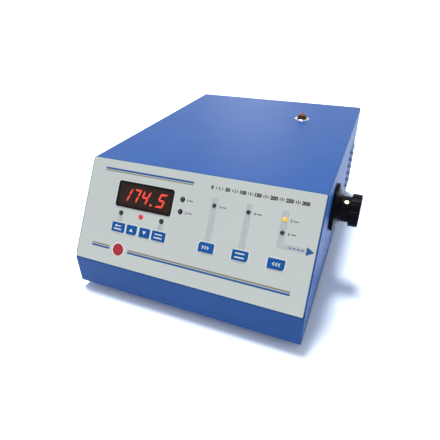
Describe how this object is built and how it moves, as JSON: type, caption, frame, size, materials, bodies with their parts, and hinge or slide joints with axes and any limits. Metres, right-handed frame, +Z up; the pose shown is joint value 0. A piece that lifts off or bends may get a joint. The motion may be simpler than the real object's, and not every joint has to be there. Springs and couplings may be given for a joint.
{
  "type": "melting point apparatus",
  "caption": "Sloping-front bench instrument with a numeric display, keys, a side control knob and a heated capillary port in its top.",
  "frame": {"origin": "on the bench, in the plane of the rubber feet, under the middle of the case", "axes": "+X to the operator's right, +Y from the operator to the back, +Z up"},
  "size_m": [0.2801, 0.3594, 0.142],
  "materials": {
    "case_blue": "speckled powder coat",
    "panel_white": "printed satin film on a plate",
    "bezel_black": "moulded satin",
    "window_smoke": "smoked acrylic",
    "key_blue": "moulded satin",
    "led_dark": "clear domed lens, unlit",
    "led_red": "clear domed lens, lit",
    "led_yellow": "clear domed lens, lit",
    "knob_black": "moulded, glossy",
    "brass": "turned",
    "nickel": "bright plated",
    "zinc_steel": "zinc plated",
    "rubber": "moulded",
    "board_green": "solder mask",
    "black_plastic": "moulded",
    "aluminium": "machined",
    "ceramic": "pressed ceramic",
    "lamination": "varnished laminations",
    "winding": "taped winding",
    "glass": "clear glass with plated caps"
  },
  "bodies": {
    "housing": {"base_chassis": "case_blue", "board_components": "black_plastic", "board_heatsink": "aluminium", "board_screws": "zinc_steel", "board_standoffs": "brass", "case_screws": "zinc_steel", "display_bezel": "bezel_black", "display_module": "black_plastic", "display_window": "window_smoke", "fan_frame": "black_plastic", "fan_guard": "nickel", "fan_screws": "zinc_steel", "foot_screws": "zinc_steel", "front_board": "board_green", "front_board_spacers": "zinc_steel", "furnace_bracket": "zinc_steel", "furnace_disc": "ceramic", "furnace_mouth": "brass", "fuse_holder": "black_plastic", "fuse_nut": "zinc_steel", "heater_cartridges": "zinc_steel", "heating_block": "aluminium", "indicator_led_red": "led_red", "indicator_led_yellow": "led_yellow", "indicator_leds_off": "led_dark", "inlet_blades": "nickel", "insulating_jacket": "ceramic", "light_detector": "black_plastic", "light_source": "black_plastic", "main_board": "board_green", "mouth_bush": "black_plastic", "mouth_collar": "nickel", "panel_overlay": "panel_white", "panel_subplate": "zinc_steel", "potentiometer_body": "zinc_steel", "potentiometer_nut": "nickel", "power_inlet": "black_plastic", "rear_panel": "case_blue", "rubber_feet": "rubber", "switch_housing": "black_plastic", "tact_switches": "black_plastic", "temperature_sensor": "zinc_steel", "top_cover": "case_blue", "transformer_core": "lamination", "transformer_strap": "zinc_steel", "transformer_winding": "winding"},
    "set_key": {"set_key": "key_blue"},
    "up_key": {"up_key": "key_blue"},
    "down_key": {"down_key": "key_blue"},
    "enter_key": {"enter_key": "key_blue"},
    "start_key": {"start_key": "key_blue"},
    "recall_key": {"recall_key": "key_blue"},
    "reset_key": {"reset_key": "key_blue"},
    "knob": {"control_knob": "knob_black", "knob_set_screw": "brass", "potentiometer_shaft": "zinc_steel"},
    "fan_rotor": {"fan_rotor": "black_plastic"},
    "switch_rocker": {"switch_rocker": "black_plastic"},
    "fuse_carrier": {"fuse_cap": "black_plastic", "fuse_link": "glass"}
  },
  "joints": [
    {"name": "set_key_press", "type": "slide", "parent": "housing", "child": "set_key", "axis": [0, 0.8376, -0.5463], "range_m": [0, 0.0005], "stiffness_N_per_m": 2500, "springref_m": -0.0002},
    {"name": "up_key_press", "type": "slide", "parent": "housing", "child": "up_key", "axis": [0, 0.8376, -0.5463], "range_m": [0, 0.0005], "stiffness_N_per_m": 2500, "springref_m": -0.0002},
    {"name": "down_key_press", "type": "slide", "parent": "housing", "child": "down_key", "axis": [0, 0.8376, -0.5463], "range_m": [0, 0.0005], "stiffness_N_per_m": 2500, "springref_m": -0.0002},
    {"name": "enter_key_press", "type": "slide", "parent": "housing", "child": "enter_key", "axis": [0, 0.8376, -0.5463], "range_m": [0, 0.0005], "stiffness_N_per_m": 2500, "springref_m": -0.0002},
    {"name": "start_key_press", "type": "slide", "parent": "housing", "child": "start_key", "axis": [0, 0.8376, -0.5463], "range_m": [0, 0.0005], "stiffness_N_per_m": 2500, "springref_m": -0.0002},
    {"name": "recall_key_press", "type": "slide", "parent": "housing", "child": "recall_key", "axis": [0, 0.8376, -0.5463], "range_m": [0, 0.0005], "stiffness_N_per_m": 2500, "springref_m": -0.0002},
    {"name": "reset_key_press", "type": "slide", "parent": "housing", "child": "reset_key", "axis": [0, 0.8376, -0.5463], "range_m": [0, 0.0005], "stiffness_N_per_m": 2500, "springref_m": -0.0002},
    {"name": "knob_turn", "type": "hinge", "parent": "housing", "child": "knob", "pos_m": [0.125, -0.057, 0.0935], "axis": [1, 0, 0], "range_deg": [-150, 150]},
    {"name": "fan_spin", "type": "hinge", "parent": "housing", "child": "fan_rotor", "pos_m": [0.056, 0.174, 0.0665], "axis": [0, 1, 0], "continuous": true},
    {"name": "rocker_tilt", "type": "hinge", "parent": "housing", "child": "switch_rocker", "pos_m": [-0.085, 0.1734, 0.0715], "axis": [1, 0, 0], "range_deg": [0, 20]},
    {"name": "fuse_carrier_pull", "type": "slide", "parent": "housing", "child": "fuse_carrier", "axis": [0, 1, 0], "range_m": [0, 0.032]}
  ]
}
